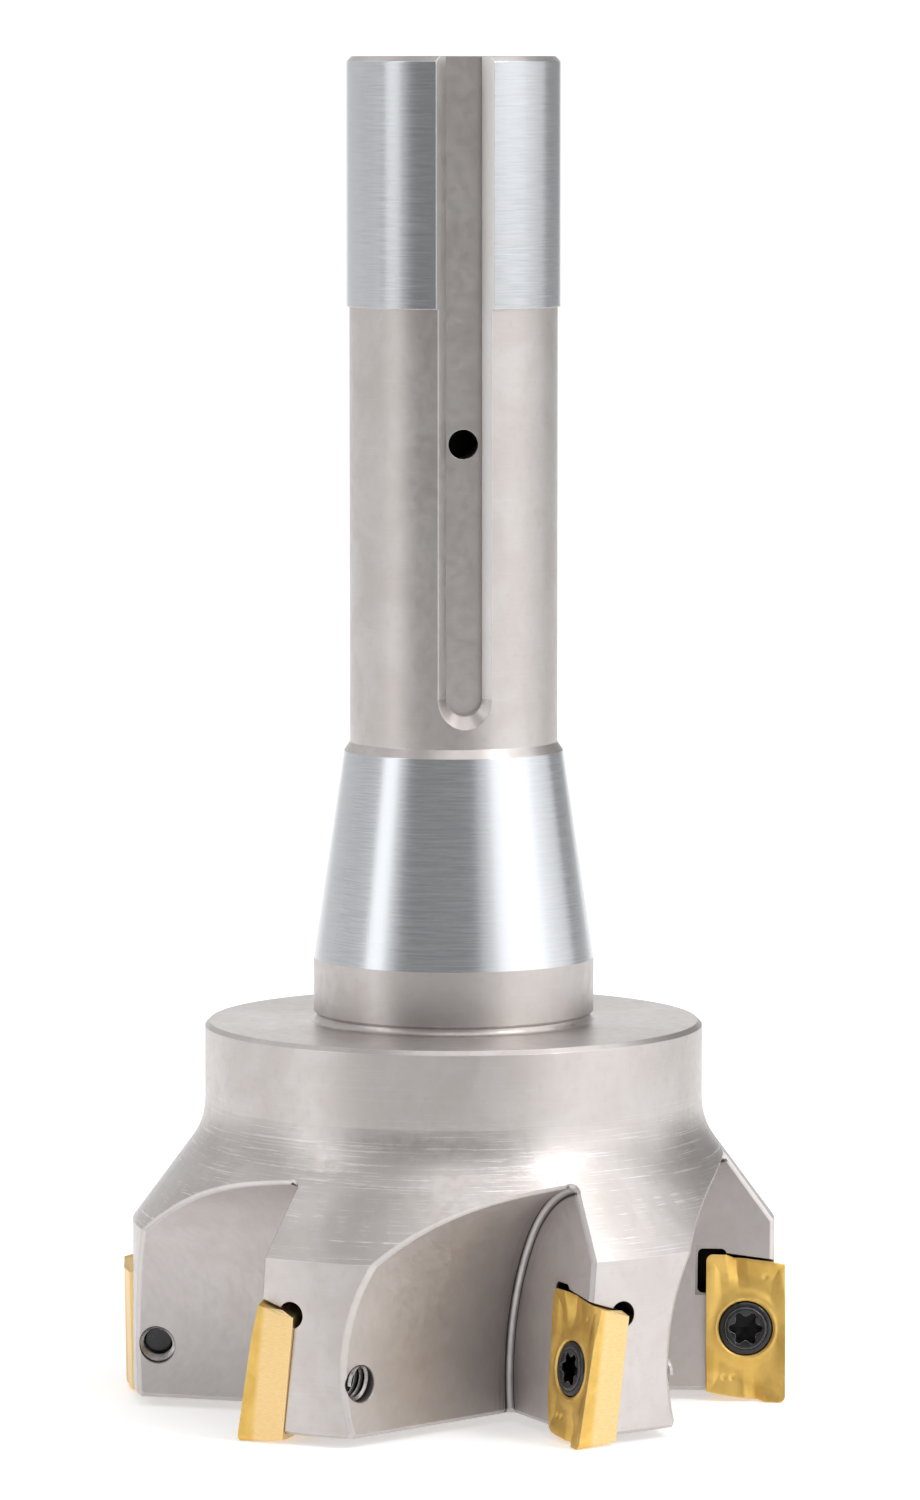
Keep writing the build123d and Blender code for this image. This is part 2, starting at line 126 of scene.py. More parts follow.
# ------------------------------------------------------------------ node helper
class Graph:
    """Short calls for building a material's node tree."""

    def __init__(self, name):
        self.material = bpy.data.materials.new(name)
        self.material.use_nodes = True
        self.tree = self.material.node_tree
        self.tree.nodes.clear()
        self.out = self.tree.nodes.new("ShaderNodeOutputMaterial")

    def put(self, socket, value):
        """Link a socket to another one, or give it a plain value."""
        if isinstance(value, bpy.types.NodeSocket):
            self.tree.links.new(value, socket)
        else:
            socket.default_value = value

    def node(self, kind, settings=None, **inputs):
        made = self.tree.nodes.new(kind)
        for key, value in (settings or {}).items():
            setattr(made, key, value)
        for key, value in inputs.items():
            self.put(made.inputs[key.replace("_", " ")], value)
        return made

    def fed(self, kind, settings, values):
        """A node with its first inputs filled in order."""
        made = self.node(kind, settings)
        for socket, value in zip(made.inputs, values):
            self.put(socket, value)
        return made.outputs

    def math(self, operation, *values):
        return self.fed("ShaderNodeMath", {"operation": operation}, values)[0]

    def times(self, first, *others):
        """The product of numbers or masks."""
        for other in others:
            first = self.math("MULTIPLY", first, other)
        return first

    def plus(self, first, second):
        return self.math("ADD", first, second)

    def minus(self, first, second):
        return self.math("SUBTRACT", first, second)

    def most(self, first, *others):
        """The largest of numbers or masks."""
        for other in others:
            first = self.math("MAXIMUM", first, other)
        return first

    def vector(self, operation, *values):
        outputs = self.fed("ShaderNodeVectorMath", {"operation": operation}, values)
        return outputs["Value"] if operation in {"DOT_PRODUCT", "LENGTH"} else outputs[0]

    def combine(self, x, y, z):
        return self.fed("ShaderNodeCombineXYZ", {}, (x, y, z))[0]

    def stretched(self, parts, factors):
        """A vector of three numbers, each times its own factor."""
        return self.combine(*(self.times(part, factor) for part, factor in zip(parts, factors)))

    def length(self, across, along):
        """Distance from zero in a plane."""
        return self.vector("LENGTH", self.combine(across, along, 0.0))

    def split(self, vector):
        return self.node("ShaderNodeSeparateXYZ", Vector=vector).outputs

    def position(self, factor):
        """The object's own coordinates, in metres, times a factor."""
        made = self.node("ShaderNodeVectorMath", {"operation": "SCALE"}, Scale=factor)
        self.put(made.inputs[0], self.node("ShaderNodeTexCoord").outputs["Object"])
        return made.outputs[0]

    def ramp(self, value, low, high, start=0.0, end=1.0):
        """value from low..high onto start..end in a soft curve, held outside."""
        made = self.node("ShaderNodeMapRange", {"interpolation_type": "SMOOTHSTEP", "clamp": True})
        for key, number in (("From Min", low), ("From Max", high), ("To Min", start), ("To Max", end)):
            made.inputs[key].default_value = number
        self.put(made.inputs["Value"], value)
        return made.outputs["Result"]

    def above(self, value, limit, soft=0.02):
        """Mask of what lies above a limit."""
        return self.ramp(value, limit - soft, limit + soft)

    def below(self, value, limit, soft=0.02):
        """Mask of what lies below a limit."""
        return self.ramp(value, limit - soft, limit + soft, 1.0, 0.0)

    def noise(self, vector, scale, detail=2.0, rough=0.5, distortion=0.0):
        made = self.node(
            "ShaderNodeTexNoise",
            Scale=scale,
            Detail=detail,
            Roughness=rough,
            Distortion=distortion,
            Vector=vector,
        )
        return made.outputs["Fac"]

    def mix(self, factor, first, second):
        """Mix two colours."""
        made = self.node("ShaderNodeMix", {"data_type": "RGBA"})
        self.put(made.inputs[0], factor)
        for socket, value in ((made.inputs[6], first), (made.inputs[7], second)):
            if isinstance(value, tuple):
                value = (*value[:3], 1.0)
            self.put(socket, value)
        return made.outputs[2]

    def mixf(self, factor, first, second):
        """Mix two numbers."""
        made = self.node("ShaderNodeMix", {"data_type": "FLOAT"})
        self.put(made.inputs[0], factor)
        self.put(made.inputs[2], first)
        self.put(made.inputs[3], second)
        return made.outputs[0]

    def tint(self, colour, mask, amount, wanted):
        """A colour moved towards another one by a mask times an amount."""
        return self.mix(self.times(mask, amount), colour, wanted)

    def varied(self, noise, first, second):
        """From first to second, numbers or colours, as a noise goes from 0.3 to 0.7."""
        share = self.ramp(noise, 0.3, 0.7)
        if isinstance(first, tuple):
            return self.mix(share, first, second)
        return self.mixf(share, first, second)

    def bump(self, height, strength, distance, normal=None):
        made = self.node("ShaderNodeBump", Strength=strength, Distance=distance, Height=height)
        if normal is not None:
            self.put(made.inputs["Normal"], normal)
        return made.outputs["Normal"]

    def edges(self, radius):
        """Rounded normal, and how much each point is on an outer edge, the mask for the painted edge
        highlights.
        """
        bevel = self.node("ShaderNodeBevel", {"samples": 4}, Radius=radius)
        normal = self.node("ShaderNodeNewGeometry").outputs["Normal"]
        same = self.vector("DOT_PRODUCT", bevel.outputs[0], normal)
        return bevel.outputs[0], self.ramp(same, 0.995, 0.93)

    def finish(self, colour, rough, normal, **others):
        inputs = {"Base_Color": colour, "Roughness": rough, "Normal": normal, **others}
        shader = self.node("ShaderNodeBsdfPrincipled", **inputs)
        self.tree.links.new(shader.outputs[0], self.out.inputs["Surface"])
        return self.material


# ------------------------------------------------------------------ body material
NICKEL = (0.57, 0.53, 0.51)
NICKEL_WARM = (0.515, 0.47, 0.445)
NICKEL_PALE = (0.62, 0.59, 0.575)
NICKEL_MOTTLE = (0.47, 0.43, 0.41)
SCRATCH = (0.80, 0.78, 0.77)
GOUGE = (0.40, 0.37, 0.355)
FLUTE_DULL = (0.545, 0.508, 0.494)
FLUTE_PALE = (0.585, 0.548, 0.534)
ROOT_SHADE = (0.13, 0.115, 0.105)
DARK_ROOT_STREAK = (0.40, 0.37, 0.36)
ROOT_SHADOW_LINE = (0.06, 0.055, 0.05)
GROOVE = (0.66, 0.64, 0.63)
GROUND_STEEL = (0.60, 0.61, 0.63)
GROUND_PALE = (0.65, 0.665, 0.685)
EDGE_HIGHLIGHT = (0.86, 0.85, 0.84)
CAVITY_SHADE = (0.035, 0.032, 0.03)

HEAD_R = 36.45
HUB_R = 28.2
CONE_BOTTOM_Z = 20.5
CONE_ANGLE = 36.5
CONE_TOP_Z = 33.0
PILOT_BOTTOM_Z = 123.9
PILOT_SKIN_R = 11.98     # just inside the pilot's surface
TAPER_TOP_Z = 73.8
TAPER_HALF_ANGLE = 8.425
TAPER_SKIN = 0.08        # how far under the taper's surface still counts as ground
GAUGE_Z = 50.3
GAUGE_R = 15.875
BORE_R = 9.0             # the drawbar bore lies inside this radius and above BORE_FOOT_Z
BORE_FOOT_Z = 70.0
KEYWAY_AZIMUTH = 6.4
KEYWAY_HALF = 2.0
KEYWAY_CHAMFER_R = 10.35
KEYWAY_END_Z = 80.4

# milled faces lie between these heights and at least MILLED_DEPTH under the turned outline
MILLED_FOOT_Z = 1.14
MILLED_TOP_Z = 41.0
MILLED_DEPTH = 0.36
RIM_DEPTH = 0.08
RIM_FOOT_Z = 1.6

FLUTE_SKEW = 22.8
FLUTE_FLOOR_R = 16.5
FLUTE_BOW_R = 26.0
FLUTE_BOW_Z = 8.1
FLUTE_CROWN_R = 14.4
FLUTE_TURN = 30.0
FLUTE_START_R = 15.0
BOW_CENTRE = FLUTE_FLOOR_R + FLUTE_BOW_R
CROWN_CENTRE = BOW_CENTRE - (FLUTE_BOW_R - FLUTE_CROWN_R) * cos(FLUTE_TURN)
CROWN_CENTRE_Z = FLUTE_BOW_Z + (FLUTE_BOW_R - FLUTE_CROWN_R) * sin(FLUTE_TURN)
CROWN_START_Z = FLUTE_BOW_Z + FLUTE_BOW_R * sin(FLUTE_TURN)
FRONT_SETBACK = 1.05
FRONT_AXIAL = 4.2
FRONT_RADIAL = 4.6
FRONT_NORMAL = tuple(face_normal(FRONT_AXIAL, FRONT_RADIAL))

# a tooth's own sector starts this many degrees before its seat, and before its front
SEAT_LEAD = 20.0
FRONT_LEAD = 45.0

# limits of the pocket walls that get painted shade, in seat coordinates: x outward, y up the edge, n
# off the seat
POCKET_X = -10.4
POCKET_LOW_Y = -1.6
POCKET_HIGH_Y = 17.7
POCKET_LOW_N = -0.4
POCKET_HIGH_N = 4.2
CORNER_X = -6.6
CORNER_Y = 12.0
TOP_WALL_Y = 16.0
TAPPED_WALL_R = 2.1
TAPPED_FOOT_N = -7.6
RELIEF_Y = 15.0
RELIEF_N = 0.6
RELIEF_R = 1.56
RELIEF_END_X = -9.5


def body_material():
    """Nickel-plated turned steel, ground shank lands, milled flutes; painted shade in reliefs, holes,
    bore and flute roots, painted highlights on edges, rims and keyway chamfers.
    """
    g = Graph("nickel_plated_steel")
    p = g.position(1 / MM)
    x, y, z = g.split(p)
    r = g.length(x, y)
    angle = g.math("ARCTAN2", y, x)

    # ground lands of the shank: the pilot and the taper
    pilot = g.times(g.above(z, PILOT_BOTTOM_Z + 0.03), g.above(r, PILOT_SKIN_R))
    slope = tan(TAPER_HALF_ANGLE)
    taper_r = g.math("MULTIPLY_ADD", z, -slope, GAUGE_R + GAUGE_Z * slope)
    on_taper = g.above(g.minus(r, taper_r), -TAPER_SKIN)
    taper = g.times(g.above(z, GAUGE_Z), g.below(z, TAPER_TOP_Z + 0.02), on_taper)
    ground = g.most(pilot, taper)

    # anything that lies below the turned outline of the head was milled
    slope = tan(CONE_ANGLE)
    cone_r = g.math("MULTIPLY_ADD", z, -slope, HEAD_R + CONE_BOTTOM_Z * slope)
    outline_r = g.math("MINIMUM", g.most(cone_r, HUB_R), HEAD_R)
    depth = g.minus(outline_r, r)
    low = g.times(g.below(z, MILLED_TOP_Z, 0.5), g.above(z, MILLED_FOOT_Z, 0.01))
    milled = g.times(g.above(depth, MILLED_DEPTH, 0.03), low)
    # the band just under the turned outline at milled edges, which carries a painted rim highlight
    rim_highlight = g.times(g.above(depth, RIM_DEPTH), g.below(depth, MILLED_DEPTH, 0.03), low)
    rim_highlight = g.times(rim_highlight, g.above(z, RIM_FOOT_Z, 0.1))

    def tooth_plane(lead):
        """x and y in the frame of the first tooth, for the tooth whose sector this is."""
        start = math.radians(FIRST_AZIMUTH - 90) - math.radians(lead)
        sector = g.math("FLOORED_MODULO", g.minus(angle, start), 2 * math.pi / TEETH)
        local = g.minus(sector, math.radians(lead))
        return g.times(r, g.math("COSINE", local)), g.times(r, g.math("SINE", local))

    # position in the seat frame of that tooth, and the pocket walls found with it for painted shade
    tooth_x, tooth_y = tooth_plane(SEAT_LEAD)
    from_seat = g.vector("SUBTRACT", g.combine(tooth_x, tooth_y, z), tuple(SEAT_ORIGIN))
    sx, sy, sn = (
        g.vector("DOT_PRODUCT", from_seat, tuple(axis)) for axis in (SEAT_X, SEAT_Y, SEAT_N)
    )
    walls = g.times(
        g.below(sn, POCKET_HIGH_N, 0.4),
        g.above(sn, POCKET_LOW_N, 0.1),
        g.above(sy, POCKET_LOW_Y),
        g.below(sy, POCKET_HIGH_Y),
        g.above(sx, POCKET_X),
    )
    corner = g.times(g.above(sy, CORNER_Y, 0.05), g.below(sx, CORNER_X, 0.05), walls)
    top_wall = g.times(g.above(sy, TOP_WALL_Y, 0.1), walls)
    hole_r = g.length(g.minus(sx, CENTRE[0]), g.minus(sy, CENTRE[1]))
    tapped = g.times(g.below(hole_r, TAPPED_WALL_R, 0.03), g.below(sn, 0.2))
    tapped = g.times(tapped, g.above(sn, TAPPED_FOOT_N, 0.9))
    relief_r = g.length(g.minus(sy, RELIEF_Y), g.minus(sn, RELIEF_N))
    relief = g.times(g.below(relief_r, RELIEF_R, 0.03), g.above(sx, RELIEF_END_X))
    relief = g.times(relief, g.above(depth, 0.12, 0.06))
    bore = g.times(g.below(r, BORE_R), g.above(z, BORE_FOOT_Z))
    sunk = g.most(g.times(low, g.above(depth, 0.06)), bore)
    # painted shade in the pocket corners, top walls, tapped holes, reliefs and bore
    cavity_shade = g.times(g.most(corner, top_wall, tapped, relief, g.times(bore, 0.85)), sunk)

    # how far each point of the flute is from its root, where floor and tooth front meet
    front_x, front_y = tooth_plane(FRONT_LEAD)
    from_front = g.vector(
        "SUBTRACT", g.combine(front_x, front_y, z), (CUTTING_R, FRONT_SETBACK, 0.0)
    )
    to_front = g.vector("DOT_PRODUCT", from_front, FRONT_NORMAL)
    across = g.plus(g.times(front_x, cos(FLUTE_SKEW)), g.times(front_y, sin(FLUTE_SKEW)))

    def inside_arc(centre_a, centre_z, radius):
        """Depth inside one of the two arcs that shape the flute's floor."""
        return g.minus(radius, g.length(g.minus(across, centre_a), g.minus(z, centre_z)))

    bow = inside_arc(BOW_CENTRE, FLUTE_BOW_Z, FLUTE_BOW_R)
    crown = inside_arc(CROWN_CENTRE, CROWN_CENTRE_Z, FLUTE_CROWN_R)
    to_floor = g.mixf(g.above(z, CROWN_START_Z, 0.5), bow, crown)
    from_root = g.most(to_front, to_floor)
    in_flute = g.times(milled, g.above(r, FLUTE_START_R, 0.5))
    root_shade = g.times(g.ramp(from_root, 0.4, 5.0, 1.0, 0.0), in_flute)
    # painted shadow line along the root crease, just outside its groove
    root_shadow_line = g.times(
        g.ramp(from_root, 0.50, 0.62), g.ramp(from_root, 0.78, 0.95, 1.0, 0.0), in_flute
    )
    # darker streaks near the root crease, fading out 3.2 mm from it
    near_root = g.times(
        g.ramp(from_root, 1.0, 3.2, 1.0, 0.0), g.ramp(from_root, 0.45, 0.6), in_flute
    )
    in_groove = g.times(g.ramp(from_root, 0.42, 0.54, 1.0, 0.0), in_flute)

    # painted highlight on the chamfers along both edges of the keyway
    turn_x, turn_y = cos(KEYWAY_AZIMUTH), sin(KEYWAY_AZIMUTH)
    key_out = g.minus(g.times(x, turn_y), g.times(y, turn_x))
    key_side = g.math("ABSOLUTE", g.plus(g.times(x, turn_x), g.times(y, turn_y)))
    off_chamfer = g.minus(g.minus(key_side, KEYWAY_HALF), g.minus(key_out, KEYWAY_CHAMFER_R))
    keyway_chamfer_highlight = g.times(
        g.above(key_out, KEYWAY_CHAMFER_R),
        g.above(key_side, KEYWAY_HALF),
        g.below(g.math("ABSOLUTE", off_chamfer), 0.10, 0.04),
        g.above(z, KEYWAY_END_Z),
    )

    # turning marks run round the axis; milling marks sweep across the flutes
    fine = g.noise(g.stretched((angle, z, r), (1.3, 3.1, 3.1)), 2.2, 3.0, 0.65)
    lathe_coarse = g.stretched((angle, z, r), (1.3, 2.6, 2.6))
    scratches = g.ramp(g.noise(lathe_coarse, 1.7, 4.0, 0.8), 0.54, 0.66)
    gouges = g.ramp(g.noise(lathe_coarse, 1.9, 4.0, 0.8), 0.42, 0.30)
    mill = g.noise(g.stretched((sx, sy, sn), (0.35, 0.35, 2.5)), 2.0, 3.0, 0.6)
    blotch = g.noise(p, 0.16, 3.0, 0.55, 0.6)
    mottle = g.noise(p, 0.9, 4.0, 0.6)
    grain = g.noise(p, 26.0, 2.0, 0.6)
    dark_root_streaks = g.combine(g.times(from_root, 3.2), 0.0, g.times(z, 0.05))
    dark_root_streaks = g.ramp(g.noise(dark_root_streaks, 2.4, 3.0, 0.7), 0.50, 0.62)
    cone_band = g.times(
        g.above(z, CONE_BOTTOM_Z - 0.1, 0.1), g.below(z, CONE_TOP_Z, 4.0), g.below(depth, 0.02, 0.01)
    )

    plated = g.mix(g.ramp(blotch, 0.35, 0.68), NICKEL_WARM, NICKEL_PALE)
    plated = g.mix(0.6, plated, NICKEL)
    plated = g.tint(plated, g.ramp(mottle, 0.52, 0.72), 0.22, NICKEL_MOTTLE)
    plated = g.tint(plated, scratches, g.mixf(cone_band, 0.10, 1.0), SCRATCH)
    plated = g.tint(plated, gouges, g.mixf(cone_band, 0.06, 0.50), GOUGE)
    flute = g.mix(g.ramp(g.noise(p, 0.3, 3.0, 0.6), 0.35, 0.7), FLUTE_DULL, FLUTE_PALE)
    colour = g.tint(plated, milled, 0.85, flute)
    colour = g.tint(colour, root_shade, 0.08, ROOT_SHADE)
    colour = g.tint(colour, near_root, dark_root_streaks, DARK_ROOT_STREAK)
    # painted shadow line along the flute root
    colour = g.tint(colour, root_shadow_line, 0.85, ROOT_SHADOW_LINE)
    colour = g.tint(colour, in_groove, 0.7, GROOVE)
    colour = g.mix(ground, colour, g.varied(fine, GROUND_STEEL, GROUND_PALE))
    # painted highlights on outer edges and along the rims
    rounded, edge_highlight = g.edges(0.12 * MM)
    colour = g.mix(g.most(g.times(edge_highlight, 0.42), g.times(rim_highlight, 0.14)), colour, EDGE_HIGHLIGHT)
    # painted highlight on the keyway chamfers
    colour = g.tint(colour, keyway_chamfer_highlight, 0.6, EDGE_HIGHLIGHT)
    # painted shade, nearly black, in the cavities
    colour = g.mix(cavity_shade, colour, CAVITY_SHADE)

    rough = g.mixf(milled, g.varied(mottle, 0.34, 0.42), g.varied(mill, 0.48, 0.58))
    rough = g.mixf(ground, rough, g.varied(fine, 0.20, 0.27))
    rough = g.mixf(cavity_shade, rough, 0.6)

    turned_height = g.times(fine, g.mixf(ground, 1.0, 0.10))
    height = g.mixf(milled, turned_height, g.times(mill, 0.7))
    height = g.plus(height, g.times(scratches, g.mixf(cone_band, 0.15, 1.6)))
    height = g.plus(height, g.times(grain, g.mixf(ground, 0.35, 0.05)))
    normal = g.bump(height, 0.35, 0.012 * MM, rounded)
    tangent = g.node("ShaderNodeTangent", {"direction_type": "RADIAL", "axis": "Z"}).outputs[0]
    return g.finish(
        colour,
        rough,
        normal,
        Metallic=1.0,
        Anisotropic=0.55,
        Anisotropic_Rotation=0.25,
        Tangent=tangent,
    )


# ------------------------------------------------------------------ other materials
GOLD_DEEP = (0.66, 0.42, 0.105)
GOLD_PALE = (0.80, 0.54, 0.160)
GOLD_SPECK = (0.42, 0.24, 0.06)
GOLD_EDGE_HIGHLIGHT = (0.96, 0.80, 0.48)
LIT_FLANK_DEEP = (0.78, 0.545, 0.245)
LIT_FLANK_PALE = (0.86, 0.625, 0.315)
OXIDE_DEEP = (0.006, 0.006, 0.007)
OXIDE_PALE = (0.016, 0.015, 0.016)
OXIDE_EDGE_HIGHLIGHT = (0.42, 0.41, 0.405)
OXIDE_RECESS_SHADE = (0.004, 0.004, 0.004)
THREAD_EDGE_HIGHLIGHT = (0.80, 0.78, 0.76)
PAPER = (0.90, 0.90, 0.90)
PAPER_PALE = (0.92, 0.92, 0.92)
BLACK = (0.0, 0.0, 0.0)
WHITE = (1.0, 1.0, 1.0)
FLOOR_GLOW = 0.38


def gold_material():
    """Titanium nitride coating on pressed and ground carbide, with the flanks painted brighter as if
    lit.
    """
    g = Graph("titanium_nitride_coating")
    p = g.position(1 / MM)
    seed = g.node("ShaderNodeObjectInfo").outputs["Random"]
    own = g.vector("ADD", p, g.combine(g.times(seed, 60.0), 0.0, 0.0))
    parts = g.split(p)
    cloud = g.noise(own, 0.35, 3.0, 0.55, 0.4)
    speck = g.noise(own, 5.0, 3.0, 0.7)
    grain = g.noise(own, 24.0, 2.0, 0.6)
    streak = g.noise(g.stretched(parts, (5.0, 5.0, 0.5)), 1.6, 3.0, 0.6)
    face = g.ramp(parts[2], 3.1, 3.9)
    colour = g.varied(cloud, GOLD_DEEP, GOLD_PALE)
    colour = g.tint(colour, g.ramp(speck, 0.62, 0.8), 0.35, GOLD_SPECK)
    # the flanks: ground streaks, which are real, on a brighter base colour, which is painted light
    colour = g.mix(face, g.varied(streak, LIT_FLANK_DEEP, LIT_FLANK_PALE), colour)
    rounded, edge_highlight = g.edges(0.08 * MM)
    # painted highlight along the insert's edges
    colour = g.tint(colour, edge_highlight, 0.5, GOLD_EDGE_HIGHLIGHT)
    rough = g.mixf(face, g.varied(streak, 0.34, 0.44), g.varied(cloud, 0.42, 0.52))
    height = g.plus(g.times(grain, 0.7), g.times(speck, 0.5))
    height = g.mixf(face, g.times(streak, 0.8), height)
    return g.finish(colour, rough, g.bump(height, 0.3, 0.01 * MM, rounded), Metallic=1.0)


def black_material():
    """Black oxide on a hardened screw, with painted highlights along its rims and painted shade in its
    recess.
    """
    g = Graph("black_oxide_screw")
    p = g.position(1 / MM)
    x, y, z = g.split(p)
    away = g.length(g.minus(x, CENTRE[0]), g.minus(y, CENTRE[1]))
    cloud = g.noise(p, 1.4, 4.0, 0.6)
    grain = g.noise(p, 18.0, 3.0, 0.65)
    rings = g.noise(g.combine(g.times(away, 9.0), g.times(z, 9.0), 0.0), 1.3, 2.0, 0.5)
    colour = g.varied(cloud, OXIDE_DEEP, OXIDE_PALE)
    rounded, edge_highlight = g.edges(0.08 * MM)
    # painted highlights along the rims and the recess edge, broken up by grain
    colour = g.tint(colour, g.times(edge_highlight, g.ramp(grain, 0.30, 0.50)), 0.75, OXIDE_EDGE_HIGHLIGHT)
    rough = g.varied(cloud, 0.13, 0.23)
    height = g.plus(g.times(grain, 0.5), g.times(rings, 0.5))
    # painted shade in the recess: darker colour, and metallic so that it loses its reflection
    recess_shade = g.times(
        g.ramp(away, 1.90, 2.0, 1.0, 0.0), g.ramp(z, 2.6, 2.9), g.ramp(z, 4.56, 4.80, 1.0, 0.0)
    )
    colour = g.tint(colour, recess_shade, 0.9, OXIDE_RECESS_SHADE)
    normal = g.bump(height, 0.12, 0.01 * MM, rounded)
    return g.finish(
        colour, rough, normal, Metallic=g.times(recess_shade, 0.8), Specular_IOR_Level=0.5
    )


def thread_material(name, base, pale, rough_low, rough_high):
    """Cut thread flanks, a little mottled, with painted highlights on their edges."""
    g = Graph(name)
    p = g.position(1 / MM)
    streak = g.noise(p, 3.5, 4.0, 0.7)
    grain = g.noise(p, 20.0, 2.0, 0.6)
    rounded, edge_highlight = g.edges(0.06 * MM)
    # painted highlights along the thread edges
    colour = g.tint(g.varied(streak, base, pale), edge_highlight, 0.6, THREAD_EDGE_HIGHLIGHT)
    rough = g.varied(streak, rough_low, rough_high)
    return g.finish(colour, rough, g.bump(grain, 0.3, 0.01 * MM, rounded), Metallic=1.0)


def floor_material():
    """Pale paper with a painted glow, bright where the camera sees it and dimmed by painted shade in
    front of and beside the tool.
    """
    g = Graph("pale_floor")
    p = g.position(1.0)
    x, y = g.split(p)[:2]
    # painted shade that dims colour and glow in front of and beside the tool
    shade = g.times(
        g.ramp(y, -0.40, -0.08, 0.22, 1.0),
        g.ramp(x, 0.35, 1.3, 1.0, 0.34),
        g.ramp(x, -1.3, -0.35, 0.66, 1.0),
    )
    colour = g.mix(shade, BLACK, g.varied(g.noise(p, 3.0, 3.0), PAPER, PAPER_PALE))
    # painted glow, so that the floor shines though it is no lamp
    glow = g.mix(shade, BLACK, WHITE)
    normal = g.bump(g.noise(p, 900.0, 2.0), 0.05, 0.0001)
    return g.finish(colour, 0.75, normal, Emission_Color=glow, Emission_Strength=FLOOR_GLOW)


# ------------------------------------------------------------------ mesh helpers
def make_mesh(name, points, faces, material, sharp):
    """A smooth mesh from points in millimetres, with edges over the given angle kept sharp."""
    mesh = bpy.data.meshes.new(name)
    mesh.from_pydata([tuple(v * MM for v in p) for p in points], [], faces)
    mesh.validate()
    mesh.shade_smooth()
    mesh.set_sharp_from_angle(angle=math.radians(sharp))
    mesh.materials.append(material)
    return mesh


def place(name, mesh, matrix):
    made = bpy.data.objects.new(name, mesh)
    made.matrix_world = matrix
    bpy.context.scene.collection.objects.link(made)
    return made


def stitch(faces, first, second, count):
    """Quads between two rings of equal count that start at the given vertex numbers."""
    for i in range(count):
        j = (i + 1) % count
        faces.append((first + i, first + j, second + j, second + i))


# ------------------------------------------------------------------ insert
INSERT_SIDE = 15.85
INSERT_THICK = 4.8
INSERT_TWIST = 0.45
INSERT_FLANK = 11.0
WIPER = 2.4
NOSE_R = 0.8
BLUNT_R = 0.3
BEND_R = 0.5
SMALLEST_R = 0.04
HOLE_TOP_R = 3.10
HOLE_R = 2.25
CONE_TOP = 4.25
# each corner of the outline: place, radius, steps round its arc
CORNERS = [
    ((0.0, 0.0), NOSE_R, 10),
    ((0.0, INSERT_SIDE), BLUNT_R, 6),
    ((-(INSERT_WIDTH - WIPER), INSERT_LENGTH), BEND_R, 3),
    ((-INSERT_WIDTH, INSERT_LENGTH), NOSE_R, 10),
    ((-INSERT_WIDTH, INSERT_LENGTH - INSERT_SIDE), BLUNT_R, 6),
    ((-WIPER, 0.0), BEND_R, 3),
]
EDGE_STEPS = [44, 40, 8] * 2
FACE_STEPS = 26          # rings across the rake face, between its border and the hole


def unit(a, b):
    dx, dy = b[0] - a[0], b[1] - a[1]
    size = math.hypot(dx, dy)
    return dx / size, dy / size


def outline_ring(inset):
    """The insert's outline moved inward by inset, as one ring of points of fixed count."""
    count = len(CORNERS)
    lines = []
    for i in range(count):
        a, b = CORNERS[i][0], CORNERS[(i + 1) % count][0]
        d = unit(a, b)
        lines.append(((a[0] - d[1] * inset, a[1] + d[0] * inset), d))
    arcs = []
    for i in range(count):
        (p1, d1), (p2, d2) = lines[i - 1], lines[i]
        cross = d1[0] * d2[1] - d1[1] * d2[0]
        t = ((p2[0] - p1[0]) * d2[1] - (p2[1] - p1[1]) * d2[0]) / cross
        vertex = (p1[0] + d1[0] * t, p1[1] + d1[1] * t)
        radius = max(CORNERS[i][1] - inset, SMALLEST_R)
        turn = math.atan2(cross, d1[0] * d2[0] + d1[1] * d2[1])
        reach = radius * math.tan(turn / 2)
        start = (vertex[0] - d1[0] * reach, vertex[1] - d1[1] * reach)
        middle = (start[0] - d1[1] * radius, start[1] + d1[0] * radius)
        heading = math.atan2(d1[1], d1[0]) - math.pi / 2
        steps = CORNERS[i][2]
        arcs.append(
            [
                (
                    middle[0] + radius * math.cos(heading + turn * s / steps),
                    middle[1] + radius * math.sin(heading + turn * s / steps),
                )
                for s in range(steps + 1)
            ]
        )
    ring = []
    for i in range(count):
        ring.extend(arcs[i])
        end, begin = arcs[i][-1], arcs[(i + 1) % count][0]
        steps = EDGE_STEPS[i]
        for s in range(1, steps):
            t = s / steps
            ring.append((end[0] + (begin[0] - end[0]) * t, end[1] + (begin[1] - end[1]) * t))
    return ring


VALLEY_X = -5.9
VALLEY_DEPTH = 0.95
VALLEY_LENGTH = 4.8
VALLEY_LEAN = 0.12
VALLEY_STEEP = 1.05      # width of its steep side
VALLEY_STEP = 1.25       # width of its inner slope, which rises to VALLEY_SHELF of the depth
VALLEY_SHELF = 0.34
VALLEY_END = 3.6
STRIP_DEPTH = 0.28
STRIP_LENGTH = 6.5
CREASE_LENGTH = 5.6
HOLLOW_DEPTH = 0.30
HOLLOW_FROM = 0.10
HOLLOW_TO = 2.6
BOSS_R = 4.45
BOSS_TWIST = 0.12
BOSS_DROP = 0.10
RIM_RISE = 0.07
RIM_SINK = 0.16
DIMPLES = [(-2.45, 14.2), (-7.0, 2.75), (-6.05, 2.75)]
DIMPLE_R = 0.42
DIMPLE_DEPTH = 0.16


def half_turn(x, y):
    """The matching point at the insert's other corner."""
    return -INSERT_WIDTH - x, INSERT_LENGTH - y


